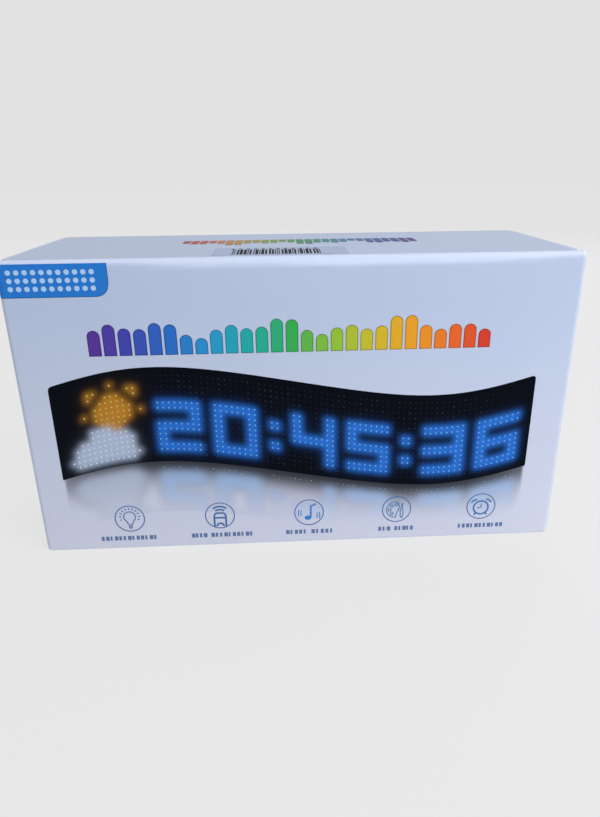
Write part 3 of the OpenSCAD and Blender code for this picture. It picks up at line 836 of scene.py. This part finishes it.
fine_u = np.linspace(0, LAMP_COLS, CELLS * LAMP_COLS + 1)
fine_v = np.linspace(0, LAMP_ROWS, CELLS * LAMP_ROWS + 1)
fine_v = np.sort(np.concatenate([fine_v, EDGE_ROWS, LAMP_ROWS - EDGE_ROWS[:2]]))
corner_r = np.where(fine_v < LAMP_ROWS / 2, DISPLAY_TOP_R, DISPLAY_BASE_R) / LAMP_PITCH
row_cut = corner_cut(corner_r, np.minimum(fine_v, LAMP_ROWS - fine_v))[:, None]
display_sheet = at_lamp(fine_v[:, None], row_cut + (1 - 2 * row_cut / LAMP_COLS) * fine_u)
add_print("front_display_print", [patch(*display_sheet, covering(display_colour(fine_v, fine_u)))])

# The unlit lamps catch the light faintly and unevenly. Towards the ends they are lost in the black,
# and the outermost rows are a bare border.
chance = np.random.default_rng(5)
in_sight = np.interp(cols, SIGHT_COLS, [0, 1, 1, 0]) * (rows > 0) * (rows < LAMP_ROWS - 1)
catch = (CATCH_LEAST + CATCH_SPAN * chance.random(rows.shape) ** CATCH_POWER) * in_sight
lamp_off = display_colour(rows[:, 0] + 0.5, cols[0] + 0.5) + catch[..., None] * ink_of(LAMP_OFF_INK)[:3]
lamp_inks = covering(np.where(is_on[..., None], lit ** LAMP_LIGHTEN, lamp_off))
lamps = dots(*at_lamp(rows + 0.5, cols + 0.5), np.where(is_on, LIT_R, UNLIT_R), lamp_inks)
add_print("front_lamp_print", [lamps])

# The picture below the edge is the one above it turned over and blurred.
grey = ink_of(MIRROR_GREY)[:3]
mirror_v = np.linspace(0, 1, MIRROR_ROWS)
mirror_a, mirror_edge = at_lamp(LAMP_ROWS, np.tile(fine_u, (MIRROR_ROWS, 1)))
mirror_b = mirror_edge + MIRROR_DROP * mirror_v[:, None]
is_blue = (lit == blue).all(axis=2)
mirror_tint = np.where(is_blue[..., None], ink_of(MIRROR_BLUE), ink_of(MIRROR_WHITE)) * is_on[..., None]
mirror_row = LAMP_ROWS + MIRROR_GAP - MIRROR_DROP / LAMP_PITCH * mirror_v
mirror_light = glow(mirror_tint, mirror_row, fine_u, MIRROR_BLUR)
mirror_pale = mirror_light[..., :3] / np.maximum(mirror_light[..., 3:], 1e-9)
mirror_share = 1 - np.exp(-mirror_light[..., 3] / MIRROR_GAIN)
mirror_rgb = grey + mirror_share[..., None] * (mirror_pale - grey)
# The dark of the mirror image fades sooner than the light of the lamps in it, and towards its sides.
# The light fades out on a level line, as 1 - w^2 squared at the share w of the way there.
left_fade = LEFT_FADE * np.exp(-fine_u / FADE_COLS)
right_fade = RIGHT_FADE * np.exp((fine_u - LAMP_COLS) / FADE_COLS)
dark_fade = np.exp(-(mirror_v[:, None] / DARK_REACH) ** DARK_POWER)
dark_cover = DARK_MOST * dark_fade * (1 - left_fade - right_fade)
to_level = np.clip((mirror_b - mirror_edge) / (MIRROR_LEVEL - mirror_edge), 0, 1)
light_cover = LIGHT_MOST * (1 - to_level ** 2) ** 2
mirror_cover = (1 - mirror_share) * dark_cover + mirror_share * light_cover
mirror_cover *= np.clip(np.minimum(fine_u, LAMP_COLS - fine_u) / RIM_COLS, 0, 1)
# It thins out into the paper where its cover ends, so that no edge of it shows.
mirror_print = patch(mirror_a, mirror_b, np.dstack([mirror_rgb, mirror_cover]))
mirror_print["lift"] = np.interp(mirror_cover, [0, THIN_COVER], [SUNK_LIFT, UNDER_LIFT]).ravel()
# The display's lowest rows of lamps show in it as two lines of points, uneven and faint.
glint_a, glint_b = at_lamp(LAMP_ROWS, np.tile(np.arange(GLINT_COL, LAMP_COLS - 1), (2, 1)) + 0.5)
glint_catch = chance.random(glint_a.shape) ** GLINT_POWERS
glint_inks = covering(2 * grey + glint_catch[..., None] * ink_of(GLINT_INK)[:3])
glints = dots(glint_a, glint_b + GLINT_DROPS, GLINT_R * (1 + glint_catch), glint_inks)
add_print("front_mirror_print", [mirror_print, glints])


# FRONT PRINT: PICTOGRAMS
# Five thin line signs in rings along the foot of the front wall, each over a row of small
# plain blocks: bulb, phone, music note, palette and alarm clock.
RING_INK, BLOCK_INK = "#4c6ea6", "#6178a3"
SIGN_INKS = ["#5877a8", "#466fa6", "#3f82cc", "#4f7dae", "#477ab4"]
RING_R, RING_ROW = 5.75, 101.1
RING_CENTRES = [34.4, 70.0, 105.6, 141.0, 175.6]
BLOCK_TOP, BLOCK_BASE, BLOCK_PITCH = 109.05, 110.95, 1.75
BLOCK_SPANS = [[(22.3, 44.8)], [(58.2, 64.6), (66.0, 83.3)], [(96.2, 105.1), (106.5, 116.0)],
               [(133.9, 139.1), (140.5, 148.6)], [(166.8, 185.8)]]
LINE_W, BOLD_W, SIGN_LIFT = 0.42, 0.72, 0.06
ARC_STEPS, OVAL_STEPS = 33, 17


def arc(x, y, radius, start, stop):
    """Points of a circle about (x, y) from start to stop degrees, up being negative y."""
    turn = np.radians(np.linspace(start, stop, ARC_STEPS))
    return np.stack([x + radius * np.cos(turn), y - radius * np.sin(turn)], axis=1)


def stroke(points, width, ink, lift=LIFT):
    """A line of ink: the points moved half a width to each side along their normals."""
    points = np.asarray(points, float)
    onward = np.gradient(points, axis=0)
    onward /= np.linalg.norm(onward, axis=1)[:, None]
    normal = np.stack([-onward[:, 1], onward[:, 0]], axis=1) * width / 2
    sides = np.stack([points - normal, points + normal])
    return patch(sides[..., 0], sides[..., 1], ink, lift)


def block(left, right, top, base, ink, lift=LIFT):
    """A rectangle of ink between these limits on the sheet."""
    return patch(*np.meshgrid([left, right], [top, base]), ink, lift)


# Each sign in shares of its ring's radius, from the ring's centre, y downwards.
globe = arc(0, -0.14, 0.4, -42, 222)
neck = np.array([globe[0], (0.19, 0.3), (0.13, 0.5)])
bulb = [globe, neck, neck * (-1, 1), [(-0.13, 0.5), (0.13, 0.5)], [(-0.12, 0.62), (0.12, 0.62)],
        arc(0, 0.66, 0.1, 180, 360)]
bulb += [np.outer([0.56, 0.72], [np.cos(t), -np.sin(t)]) + (0, -0.14)
         for t in np.radians(np.linspace(-20, 200, 11))]
casing = np.concatenate([[(-0.4, 0.9)], arc(-0.15, 0.05, 0.25, 180, 90),
                         arc(0.15, 0.05, 0.25, 90, 0), [(0.4, 0.9)]])
phone = [casing, [(-0.38, 0.18), (0.38, 0.18)], arc(0, 0.86, 0.24, 0, 180),
         arc(0, 0, 0.72, 50, 130), arc(0, -0.02, 0.46, 50, 130)]
note = [[(0.12, 0.4), (0.12, -0.52)], [(0.08, -0.5), (0.3, -0.57), (0.48, -0.68)]]
HEAD_A, HEAD_B, HEAD_WIDE, HEAD_HIGH, HEAD_TURN = -0.08, 0.42, 0.24, 0.18, 80
sound = [arc(x, y, radius, turn - 20, turn + 20) for x, y, turn in ((0.05, 0.05, 180), (-0.05, 0.25, 0))
         for radius in (0.62, 0.8)]
notch = [(-0.03, 0.64), (-0.02, 0.36), (0.12, 0.1), (0.2, -0.2), (0.13, -0.56)]
palette = [arc(-0.08, 0.02, 0.62, 70, 275), notch, arc(0, 0, 1, 0, 360) * (0.1, 0.42) + (0.37, 0.28)]
palette += [arc(x, y, 0.1, 0, 360)
            for x, y in ((-0.02, -0.38), (-0.34, -0.28), (-0.48, 0.04), (-0.32, 0.34))]
brush = [[(0.37, -0.14), (0.4, -0.5)]]
bell = np.array([(0.32, -0.56), (0.56, -0.48), (0.7, -0.3)])
foot = np.array([(0.34, 0.5), (0.45, 0.68)])
clock = [arc(0, 0.1, 0.52, 0, 360), bell, bell * (-1, 1), foot, foot * (-1, 1)]
hands = [[(0, 0.1), (0.02, -0.2)], [(0, 0.1), (-0.28, 0.12)]]
# The thin and the bold lines of each sign.
SIGNS = [(bulb, []), ([], phone), (sound, note), (palette, brush), (hands, clock)]

sign_shapes = []
for k, sign in enumerate(SIGNS):
    middle = np.array([RING_CENTRES[k], RING_ROW])
    sign_shapes.append(stroke(arc(*middle, RING_R, 0, 360), LINE_W, ink_of(RING_INK)))
    for lines, width in zip(sign, (LINE_W, BOLD_W)):
        sign_shapes += [stroke(np.array(line) * RING_R + middle, width, ink_of(SIGN_INKS[k]), SIGN_LIFT)
                        for line in lines]
    # The blocks differ in width: block n takes 0.62 + 0.2 sin(2.4 n + k) of its pitch.
    for left, right in BLOCK_SPANS[k]:
        count = max(2, round((right - left) / BLOCK_PITCH))
        starts = left + (right - left) * np.arange(count) / count
        wides = BLOCK_PITCH * (0.62 + 0.2 * np.sin(2.4 * np.arange(count) + k))
        sign_shapes += [block(start, start + wide, BLOCK_TOP, BLOCK_BASE, ink_of(BLOCK_INK))
                        for start, wide in zip(starts, wides)]
# The note's head, an oval: rows HEAD_HIGH sin(t) below its centre, HEAD_WIDE cos(t) to each side.
turn = np.radians(np.linspace(-HEAD_TURN, HEAD_TURN, OVAL_STEPS))
head_a = RING_CENTRES[2] + RING_R * (HEAD_A + HEAD_WIDE * np.outer([-1, 1], np.cos(turn)))
head_b = np.tile(RING_ROW + RING_R * (HEAD_B + HEAD_HIGH * np.sin(turn)), (2, 1))
sign_shapes.append(patch(head_a, head_b, ink_of(SIGN_INKS[2]), SIGN_LIFT))
add_print("front_pictogram_print", sign_shapes)


# LID PRINT
# The same row of rainbow bars in ink on the top lid, turned to be seen from the back.
LID_BARS_W, LID_BARS_NEAR, LID_BARS_FAR, LID_BARS_ASIDE = 94.5, 31.0, 47.5, 2.5
LID_PALENESS = 0.55


def on_lid(sheet, lift):
    """Sheet points on the top lid, turned half round: a mm from the right, b mm from its front."""
    x, y = half_w - sheet[:, 0], sheet[:, 1] - half_d
    return arched(np.stack([x, y, CARTON_H + lift], axis=1))


lid_left = (CARTON_W - LID_BARS_W) / 2 - LID_BARS_ASIDE
lid_bars = equaliser(lid_left, lid_left + LID_BARS_W, LID_BARS_FAR, LID_BARS_FAR - LID_BARS_NEAR,
                     LID_PALENESS)
add_print("lid_equaliser_print", lid_bars, on_lid, "lid")


# BARCODE LABEL
# A small self-adhesive label of matt white paper near the lid's front edge, printed
# in black with plain bars and a row of plain marks.
LABEL_T, LABEL_SOFT_R, LABEL_CORNER_R = 0.2, 0.04, 1.0
LABEL_TONES, BAR_INK, MARK_INK = ("#b0bcd4", "#a9b6cf"), "#17181b", "#2a2b2f"
LABEL_INK_LIFT = LABEL_T + 0.02
BAR_MODULE, BAR_TOTAL, BAR_STEPS = 0.345, 95, 60
BARS_ASIDE, BARS_MARGIN, BARS_L = 2.2, 0.15, 11.6
MARK_COUNT, MARK_HALF, MARK_NEAR, MARK_FAR = 12, 0.55, 0.8, 2.6
label_low, label_high = (np.array(corner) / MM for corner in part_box("barcode_label"))

# Matt uncoated label stock: pale, a little greyer than the carton, with no sheen.
label_stock = paper_finish("matt_label_paper", *LABEL_TONES, roughness=0.75, shine=0.2,
                           washboard=0.003, fibre=0.004)
# Black print on the same stock: flat, a little smoother and with even less sheen.
label_black = paper_finish("black_label_print", *LABEL_TONES, roughness=0.6, shine=0.05,
                           washboard=0.003, fibre=0.002, printed=True)

sides = (label_low[0], label_high[0])
label_path = folded_path((label_high[1], CARTON_H + LABEL_T), 180,
                         [(label_high[1] - label_low[1], sides)], step=0.5)
walk = label_path["walk"]
end_cut = corner_cut(LABEL_CORNER_R, np.minimum(walk, walk[-1] + STATION_GAP - walk))
label_path["low"] += end_cut
label_path["high"] -= end_cut
label = board_strip(label_path, SIDE_ON, False, thick=LABEL_T, soft=LABEL_SOFT_R, edge=SHUT_EDGE,
                    ends=(SHUT_EDGE, SHUT_EDGE), row_step=2.0)
label["points"] = arched(label["points"])
label_piece = add_piece("barcode_label_paper", label, [label_stock] * 3)
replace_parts(label_piece, "barcode_label")
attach(label_piece, "lid")

# Bars and gaps in turn, one to three modules wide.
steps = np.arange(BAR_STEPS)
widths = 1 + np.where(steps % 2, steps % 10 == 5, (steps * steps * 7 + steps * 3 + steps // 5) % 3)
edges = np.concatenate([[0], np.cumsum(widths)])
bars_left = half_w - (label_low[0] + label_high[0]) / 2 - BAR_TOTAL * BAR_MODULE / 2 + BARS_ASIDE
bars_near = label_low[1] + half_d + BARS_MARGIN
bars_far = bars_near + BARS_L
bars_a = bars_left + BAR_MODULE * edges
marks_a = bars_left + BAR_TOTAL * BAR_MODULE * (np.arange(MARK_COUNT) + 0.5) / MARK_COUNT
label_shapes = [block(bars_a[k], bars_a[k + 1], bars_near, bars_far, ink_of(BAR_INK), LABEL_INK_LIFT)
                for k in steps[::2] if edges[k + 1] <= BAR_TOTAL]
label_shapes += [block(middle - MARK_HALF, middle + MARK_HALF, bars_far + MARK_NEAR, bars_far + MARK_FAR,
                       ink_of(MARK_INK), LABEL_INK_LIFT) for middle in marks_a]
add_print("barcode_label_print", label_shapes, on_lid, "lid", label_black)
